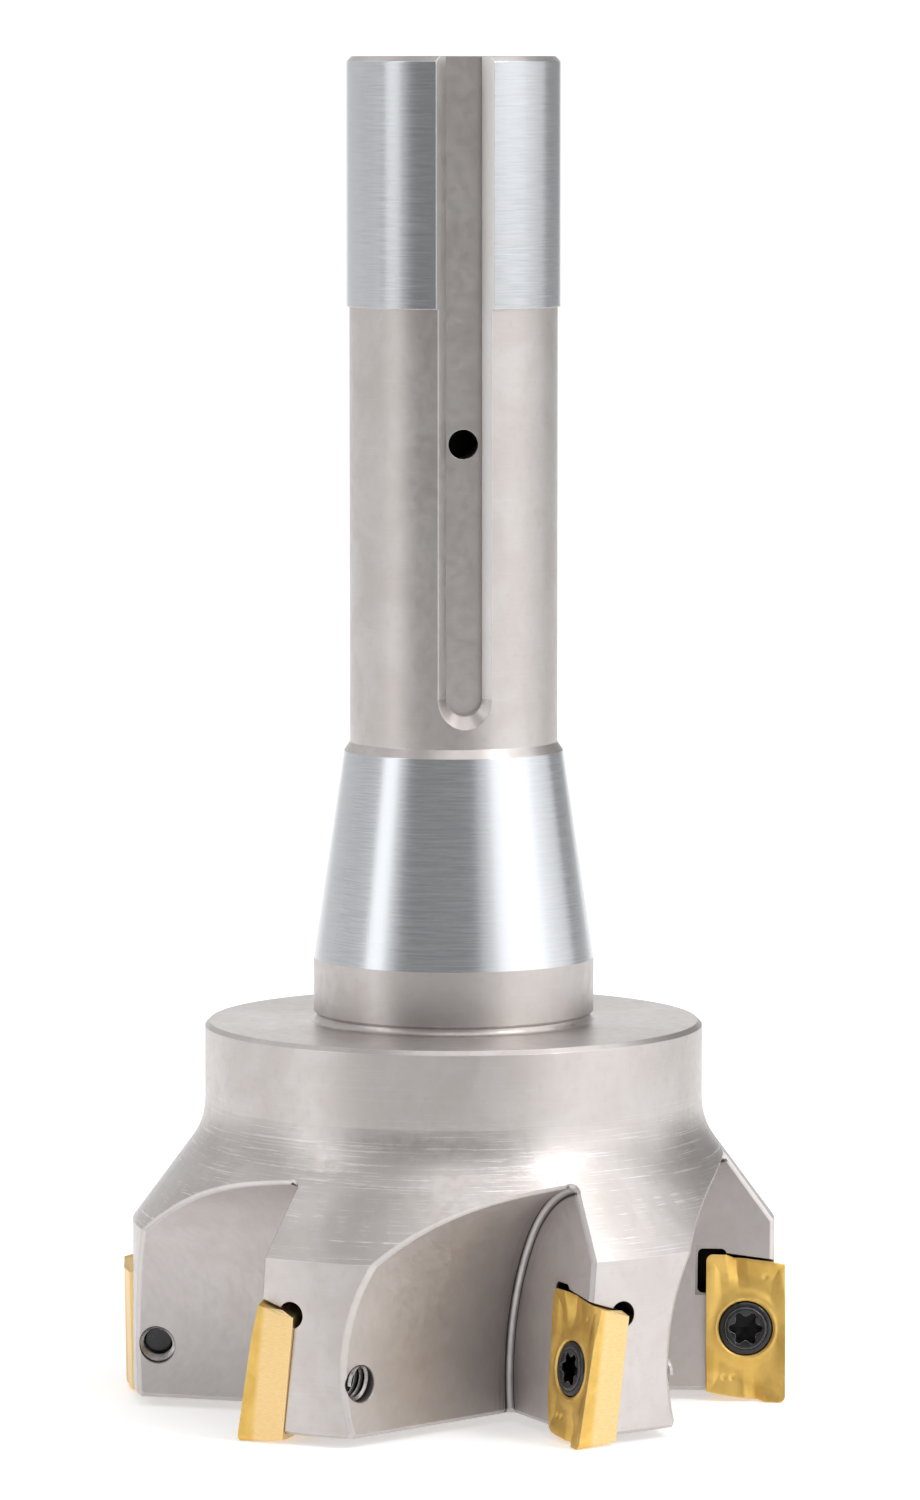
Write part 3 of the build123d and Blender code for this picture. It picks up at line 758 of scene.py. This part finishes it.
def valley(x, y):
    """Depth of the V-shaped valley that runs from the upper short edge to the screw."""
    along = INSERT_LENGTH - y
    if along > VALLEY_LENGTH:
        return 0.0
    fade = 1 - smoothstep(0.0, VALLEY_LENGTH, along)
    side = x - (VALLEY_X + VALLEY_LEAN * along)
    if side < 0:
        shape = max(0.0, 1 + side / VALLEY_STEEP)
    elif side < VALLEY_STEP:
        shape = 1 - (1 - VALLEY_SHELF) * side / VALLEY_STEP
    else:
        shape = VALLEY_SHELF * (1 - smoothstep(VALLEY_STEP, VALLEY_END, side))
    return VALLEY_DEPTH * fade * shape


def corner_strip(x, y):
    """How much the face drops between the curved crease and the nose end of the long edge."""
    along = INSERT_LENGTH - y
    if along > STRIP_LENGTH:
        return 0.0
    crease = -2.1 + 2.0 * (min(along, CREASE_LENGTH) / CREASE_LENGTH) ** 0.7
    drop = STRIP_DEPTH * smoothstep(0.0, 1.0, (x - crease) / 1.3)
    return drop * (1 - smoothstep(3.5, STRIP_LENGTH, along))


def dimple(x, y, cx, cy):
    distance = math.hypot(x - cx, y - cy) / DIMPLE_R
    return DIMPLE_DEPTH * (1 - distance * distance) ** 1.5 if distance < 1 else 0.0


def rake_height(x, y, inset):
    """Height of the rake face above the seat: land, chip groove, valleys and boss."""
    p = (x - CENTRE[0]) / (INSERT_WIDTH / 2)
    q = (y - CENTRE[1]) / (INSERT_LENGTH / 2)
    base = INSERT_THICK - INSERT_TWIST * p * q
    away = math.hypot(x - CENTRE[0], y - CENTRE[1])
    boss = 1 - smoothstep(BOSS_R - 0.9, BOSS_R + 0.35, away)
    hollow = HOLLOW_DEPTH * smoothstep(HOLLOW_FROM, HOLLOW_TO, inset)
    cut = hollow + valley(x, y) + valley(*half_turn(x, y))
    cut += corner_strip(x, y) + corner_strip(*half_turn(x, y))
    crown = INSERT_THICK - BOSS_TWIST * p * q - BOSS_DROP
    land = smoothstep(0.0, 1.0, inset)
    height = (base - cut) * (1 - boss * land) + crown * boss * land
    height += RIM_RISE * smoothstep(HOLE_TOP_R + 0.55, HOLE_TOP_R + 0.30, away)
    height -= RIM_SINK * smoothstep(HOLE_TOP_R + 0.25, HOLE_TOP_R, away)
    for cx, cy in DIMPLES:
        height -= dimple(x, y, cx, cy)
    return height


def insert_mesh_data():
    """Rings of points from the seat face round the outside and down the hole."""
    points, faces, starts = [], [], []

    def add(ring):
        starts.append(len(points))
        points.extend(ring)

    outer = outline_ring(0)
    count = len(outer)
    flank = tan(INSERT_FLANK)
    inner = outline_ring(0.02)

    def inset_point(i, amount):
        """Point i of the outline moved inward by a small amount."""
        dx, dy = inner[i][0] - outer[i][0], inner[i][1] - outer[i][1]
        return outer[i][0] + dx * amount / 0.02, outer[i][1] + dy * amount / 0.02

    edge_heights = [rake_height(x, y, 0.0) for x, y in outer]
    # seat face, from the hole out
    bottom = outline_ring(NOSE_THICK * flank)
    last = outline_ring(1.0)
    around = [unit(CENTRE, point) for point in last]
    add([(CENTRE[0] + HOLE_R * d[0], CENTRE[1] + HOLE_R * d[1], 0.0) for d in around])
    break_edge = 0.06
    second = outline_ring(NOSE_THICK * flank + break_edge)
    add([(x, y, 0.0) for x, y in second])
    add([(x, y, break_edge) for x, y in bottom])
    # flank up to the cutting edge
    for share in (0.3, 0.6, 0.8, 0.93):
        ring = []
        for i in range(count):
            h = break_edge + (edge_heights[i] - 0.04 - break_edge) * share
            x, y = inset_point(i, (NOSE_THICK - h) * flank)
            ring.append((x, y, h))
        add(ring)
    for drop, extra in ((0.045, 0.0), (0.0, 0.035)):
        ring = []
        for i in range(count):
            h = edge_heights[i] - drop
            x, y = inset_point(i, (NOSE_THICK - h) * flank + extra)
            ring.append((x, y, h))
        add(ring)
    # rake face, inward to the screw hole
    base_inset = [(NOSE_THICK - edge_heights[i]) * flank for i in range(count)]
    for inset in (0.1, 0.18, 0.3, 0.45, 0.62, 0.8, 1.0):
        shape = outline_ring(inset)
        ring = []
        for i in range(count):
            dx = inset_point(i, base_inset[i])[0] - outer[i][0]
            dy = inset_point(i, base_inset[i])[1] - outer[i][1]
            keep = 1 - inset
            x, y = shape[i][0] + dx * keep, shape[i][1] + dy * keep
            ring.append((x, y, rake_height(x, y, inset)))
        add(ring)
    for s in range(1, FACE_STEPS + 1):
        t = s / FACE_STEPS
        ring = []
        for i in range(count):
            hx = CENTRE[0] + HOLE_TOP_R * around[i][0]
            hy = CENTRE[1] + HOLE_TOP_R * around[i][1]
            x = last[i][0] + (hx - last[i][0]) * t
            y = last[i][1] + (hy - last[i][1]) * t
            gap = math.hypot(last[i][0] - hx, last[i][1] - hy)
            ring.append((x, y, rake_height(x, y, 1.0 + t * gap)))
        add(ring)
    # countersunk hole
    cone_foot = CONE_TOP - (HOLE_TOP_R - HOLE_R) / tan(30)
    for radius, h in ((HOLE_TOP_R, CONE_TOP), (HOLE_R, cone_foot)):
        add([(CENTRE[0] + radius * d[0], CENTRE[1] + radius * d[1], h) for d in around])
    for a, b in zip(starts, starts[1:]):
        stitch(faces, a, b, count)
    stitch(faces, starts[-1], starts[0], count)
    return points, faces


# ------------------------------------------------------------------ screw
SCREW_HEAD_R = 3.05
SCREW_HEAD_TOP = 4.95
SCREW_SHANK_R = 1.95
SCREW_CONE_FOOT = 2.345
SCREW_TIP = -5.4
THREAD_PITCH = 0.7
THREAD_ROOT_R = 1.53
THREAD_TOP_Z = 0.9
STAR_STEPS = 96
STAR_R = 1.56
STAR_LOBE = 0.27
STAR_DEPTH = 1.5
NECK_R = 1.72
TIP_R = 1.45
HEAD_ROUND_R = 2.42      # where the head's rounded edge is centred
# rings across the head's flat top, from its rounded edge to the recess: radius, drop
HEAD_RINGS = ((2.33, 0.11), (2.24, 0.06), (2.15, 0.01), (2.04, 0.0), (1.96, 0.04))
# rings down the recess: how much wider than the star, drop
STAR_RINGS = ((0.07, 0.11), (0.0, 0.20), (-0.02, 0.6), (-0.05, STAR_DEPTH))


def star_radius(angle):
    """Six-lobed recess with rounded points and rounded hollows."""
    wave = math.cos(6 * angle)
    return STAR_R + STAR_LOBE * math.copysign(abs(wave) ** 0.8, wave)


def screw_thread_r(angle, z):
    """Radius of the threaded shank: a right-hand helix."""
    turn = (z / THREAD_PITCH - angle / (2 * math.pi)) % 1.0
    rise = 1 - min(1.0, max(0.0, (abs(turn - 0.5) - 0.07) / 0.36))
    height = THREAD_ROOT_R + (SCREW_SHANK_R - THREAD_ROOT_R) * rise
    runout = smoothstep(THREAD_TOP_Z, THREAD_TOP_Z - 0.8, z)
    height = NECK_R + (height - NECK_R) * runout
    tip = smoothstep(SCREW_TIP, SCREW_TIP + 0.55, z)
    return TIP_R + (height - TIP_R) * tip


def screw_mesh_data():
    """Rings of points from the tip of the shank up to the head and down into the recess."""
    points, faces, starts = [], [], []
    angles = [2 * math.pi * i / STAR_STEPS for i in range(STAR_STEPS)]

    def add(radius, z):
        starts.append(len(points))
        for a in angles:
            r = radius(a) if callable(radius) else radius
            points.append((CENTRE[0] + r * math.cos(a), CENTRE[1] + r * math.sin(a), z))

    # shank, tip upward
    add(0.35, SCREW_TIP)
    add(1.3, SCREW_TIP)
    step = THREAD_PITCH / 10
    z = SCREW_TIP + 0.02
    while z < THREAD_TOP_Z + 0.2:
        add(lambda a, h=z: screw_thread_r(a, h), z)
        z += step
    add(1.75, 1.35)
    add(SCREW_SHANK_R - 0.03, 2.0)
    add(SCREW_SHANK_R, SCREW_CONE_FOOT)
    # head: cone, rim, rounded top
    add((SCREW_SHANK_R + SCREW_HEAD_R) / 2, (SCREW_CONE_FOOT + CONE_TOP) / 2)
    add(SCREW_HEAD_R, CONE_TOP)
    for s in range(9):
        a = math.radians(90 * s / 8)
        reach = (SCREW_HEAD_R - HEAD_ROUND_R) * math.cos(a)
        add(HEAD_ROUND_R + reach, SCREW_HEAD_TOP - 0.55 + 0.46 * math.sin(a))
    for radius, drop in HEAD_RINGS:
        add(radius, SCREW_HEAD_TOP - drop)
    for wider, drop in STAR_RINGS:
        add(lambda a, w=wider: star_radius(a) + w, SCREW_HEAD_TOP - drop)
    add(0.9, SCREW_HEAD_TOP - STAR_DEPTH - 0.12)
    add(0.3, SCREW_HEAD_TOP - STAR_DEPTH - 0.4)
    for a, b in zip(starts, starts[1:]):
        stitch(faces, a, b, STAR_STEPS)
    faces.append(tuple(range(STAR_STEPS))[::-1])
    faces.append(tuple(range(starts[-1], starts[-1] + STAR_STEPS)))
    return points, faces


# ------------------------------------------------------------------ threads cut in the body
TAPPED_R = 2.02
TAPPED_CREST_R = 1.66
TAPPED_FOOT_Z = -7.0
TAPPED_TOP_Z = -0.5
DRAWBAR_R = 5.576
DRAWBAR_CREST_R = 4.96
DRAWBAR_PITCH = 1.27
DRAWBAR_FOOT_Z = 114.9
DRAWBAR_TOP_Z = 150.4
END_TURNS = 0.4          # how much of a turn the ridge takes to rise from the wall


def thread_ridge_data(centre, wall_r, crest_r, pitch, low, high, steps, root_share, crest_share):
    """A helical ridge standing inward from a bore wall: four corners swept round, tapered ends."""
    points, faces = [], []
    turns = (high - low) / pitch
    total = int(turns * steps)
    for i in range(total + 1):
        t = i / steps
        a = 2 * math.pi * t
        z = low + pitch * t
        ends = min(1.0, i / (steps * END_TURNS), (total - i) / (steps * END_TURNS))
        tip_r = wall_r - (wall_r - crest_r) * max(0.03, ends)
        for radius, offset in (
            (wall_r, -root_share),
            (tip_r, -crest_share),
            (tip_r, crest_share),
            (wall_r, root_share),
        ):
            h = z + offset * pitch
            points.append((centre[0] + radius * math.cos(a), centre[1] + radius * math.sin(a), h))
        if i:
            for c in range(4):
                d = (c + 1) % 4
                b = 4 * i
                faces.append((b - 4 + c, b - 4 + d, b + d, b + c))
    faces.append((3, 2, 1, 0))
    last = 4 * total
    faces.append((last, last + 1, last + 2, last + 3))
    return points, faces


# ------------------------------------------------------------------ build
body_mat = body_material()
gold_mat = gold_material()
black_mat = black_material()
tap_mat = thread_material("tapped_thread", (0.34, 0.32, 0.31), (0.56, 0.53, 0.51), 0.28, 0.42)
bore_mat = thread_material("drawbar_thread_steel", (0.30, 0.29, 0.28), (0.50, 0.48, 0.46), 0.30, 0.45)

cutter = frame["nodes"]["cutter_body"]
for slot in cutter.material_slots:
    slot.material = body_mat

insert_mesh = make_mesh("carbide_insert_1", *insert_mesh_data(), gold_mat, 28.0)
screw_mesh = make_mesh("clamp_screw_1", *screw_mesh_data(), black_mat, 35.0)
# The hole's ridge fills the space half a pitch away from the screw's ridge.
tapped_data = thread_ridge_data(
    CENTRE,
    TAPPED_R,
    TAPPED_CREST_R,
    THREAD_PITCH,
    TAPPED_FOOT_Z,
    TAPPED_TOP_Z,
    steps=40,
    root_share=0.36,
    crest_share=0.06,
)
tapped_mesh = make_mesh("tapped_thread_1", *tapped_data, tap_mat, 30.0)
drawbar_data = thread_ridge_data(
    (0.0, 0.0),
    DRAWBAR_R,
    DRAWBAR_CREST_R,
    DRAWBAR_PITCH,
    DRAWBAR_FOOT_Z,
    DRAWBAR_TOP_Z,
    steps=72,
    root_share=0.42,
    crest_share=0.07,
)
drawbar_mesh = make_mesh("drawbar_thread_ridge", *drawbar_data, bore_mat, 30.0)

for k in range(TEETH):
    number = str(k + 1)
    matrix = seat_matrix(k)
    piece = place("carbide_insert_" + number, insert_mesh, matrix)
    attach(piece, "insert_" + number + "_body")
    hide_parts("insert_" + number)
    piece = place("clamp_screw_" + number, screw_mesh, matrix)
    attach(piece, "screw_" + number + "_body")
    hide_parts("insert_screw_" + number)
    piece = place("tapped_thread_" + number, tapped_mesh, matrix)
    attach(piece, "cutter")

drawbar = place("drawbar_thread_ridge", drawbar_mesh, Matrix.Identity(4))
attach(drawbar, "cutter")


# ------------------------------------------------------------------ stage
def backdrop():
    """Floor that curves up into a wall far behind the tool."""
    points, faces = [], []
    half, front, back, radius = 6.0, -6.0, 2.2, 1.5
    profile = [(front, 0.0)]
    profile += [(back - 3.0 * (1 - s / 6), 0.0) for s in range(7)]
    for s in range(1, 13):
        a = math.radians(90 * s / 12)
        profile.append((back + radius * math.sin(a), radius * (1 - math.cos(a))))
    profile.append((back + radius, 6.0))
    for y, z in profile:
        points.append((-half / MM, y / MM, z / MM))
        points.append((half / MM, y / MM, z / MM))
    for i in range(len(profile) - 1):
        faces.append((2 * i, 2 * i + 1, 2 * i + 3, 2 * i + 2))
    return place("floor", make_mesh("floor", points, faces, floor_material(), 60.0), Matrix.Identity(4))


backdrop()


LIGHT_TARGET = Vector((0, 0, 0.07))


def soft_light(name, azimuth, elevation, distance, width, height, power):
    """A soft box that faces the tool; azimuth from the camera side towards +X."""
    data = bpy.data.lights.new(name, "AREA")
    data.shape = "RECTANGLE"
    data.size = width
    data.size_y = height
    data.energy = power
    lamp = bpy.data.objects.new(name, data)
    away = Vector((sin(azimuth) * cos(elevation), -cos(azimuth) * cos(elevation), sin(elevation)))
    lamp.location = LIGHT_TARGET + distance * away
    lamp.rotation_mode = "QUATERNION"
    lamp.rotation_quaternion = away.to_track_quat("Z", "Y")
    bpy.context.scene.collection.objects.link(lamp)


soft_light("overhead", 20, 70, 1.9, 1.4, 1.4, 6)
soft_light("key", 56, 42, 1.2, 0.20, 0.20, 2.4)
soft_light("right_box", 98, 50, 1.4, 0.75, 0.75, 1.9)
soft_light("left_box", -128, 45, 1.4, 0.75, 0.75, 0.6)
soft_light("fill", -66, 36, 1.2, 0.24, 0.24, 0.5)

# Brightness of the studio by azimuth, in degrees from the camera side towards +X, set to the
# photo's reflections: a narrow bright strip on the left, a broad bright wall on the right,
# a dim front, and STUDIO_TOP overhead.
STUDIO = [
    (-180, 0.74),
    (-150, 0.74),
    (-120, 0.66),
    (-98, 0.64),
    (-82, 0.74),
    (-74, 1.80),
    (-64, 1.80),
    (-54, 0.80),
    (-45, 0.32),
    (-38, 0.27),
    (0, 0.28),
    (17, 0.30),
    (30, 0.90),
    (44, 1.75),
    (60, 2.10),
    (76, 1.95),
    (92, 1.38),
    (106, 1.12),
    (120, 0.82),
    (134, 0.62),
    (155, 0.44),
    (180, 0.74),
]
STUDIO_TOP = 0.62
TOP_FROM = 0.08          # upward part of the direction where the top starts to mix in
TOP_FULL = 0.80
STUDIO_TINT = (0.985, 0.99, 1.0)


def studio_world():
    """World light by azimuth, which goes over to one even level overhead."""
    world = bpy.data.worlds.new("studio")
    world.use_nodes = True
    tree = world.node_tree
    place = tree.nodes.new("ShaderNodeTexCoord")
    split = tree.nodes.new("ShaderNodeSeparateXYZ")
    tree.links.new(place.outputs["Generated"], split.inputs[0])
    flip = tree.nodes.new("ShaderNodeMath")
    flip.operation = "MULTIPLY"
    flip.inputs[1].default_value = -1.0
    tree.links.new(split.outputs["Y"], flip.inputs[0])
    turn = tree.nodes.new("ShaderNodeMath")
    turn.operation = "ARCTAN2"
    tree.links.new(split.outputs["X"], turn.inputs[0])
    tree.links.new(flip.outputs[0], turn.inputs[1])
    share = tree.nodes.new("ShaderNodeMapRange")
    share.inputs["From Min"].default_value = -math.pi
    share.inputs["From Max"].default_value = math.pi
    tree.links.new(turn.outputs[0], share.inputs["Value"])
    ramp = tree.nodes.new("ShaderNodeValToRGB")
    ramp.color_ramp.interpolation = "EASE"
    while len(ramp.color_ramp.elements) < len(STUDIO):
        ramp.color_ramp.elements.new(0.5)
    for element, (azimuth, level) in zip(ramp.color_ramp.elements, STUDIO):
        element.position = (azimuth + 180) / 360
        element.color = (*(level * t for t in STUDIO_TINT), 1.0)
    tree.links.new(share.outputs[0], ramp.inputs[0])
    height = tree.nodes.new("ShaderNodeMapRange")
    height.interpolation_type = "SMOOTHSTEP"
    height.inputs["From Min"].default_value = TOP_FROM
    height.inputs["From Max"].default_value = TOP_FULL
    tree.links.new(split.outputs["Z"], height.inputs["Value"])
    upper = tree.nodes.new("ShaderNodeMix")
    upper.data_type = "RGBA"
    tree.links.new(height.outputs[0], upper.inputs[0])
    tree.links.new(ramp.outputs[0], upper.inputs[6])
    upper.inputs[7].default_value = (*(STUDIO_TOP * t for t in STUDIO_TINT), 1.0)
    tree.links.new(upper.outputs[2], tree.nodes["Background"].inputs[0])
    return world


bpy.context.scene.world = studio_world()
bpy.context.scene.view_settings.view_transform = "Standard"
bpy.context.scene.view_settings.look = "None"

# the photo's viewing angle: distance and height in metres, angles in degrees
CAMERA_AWAY = 0.855
CAMERA_HEIGHT = 0.1528
CAMERA_DIP = 5.2835
CAMERA_TURN = -0.0486
CAMERA_LENS = 182.19
CAMERA_SENSOR = 36.0

camera_data = bpy.data.cameras.new("camera")
camera_data.sensor_fit = "VERTICAL"
camera_data.sensor_height = CAMERA_SENSOR
camera_data.lens = CAMERA_LENS
camera_data.clip_start = 0.05
camera_data.clip_end = 50.0
camera = bpy.data.objects.new("camera", camera_data)
camera.location = (0.0, -CAMERA_AWAY, CAMERA_HEIGHT)
camera.rotation_euler = (math.radians(90 - CAMERA_DIP), 0.0, math.radians(CAMERA_TURN))
bpy.context.scene.collection.objects.link(camera)
bpy.context.scene.camera = camera
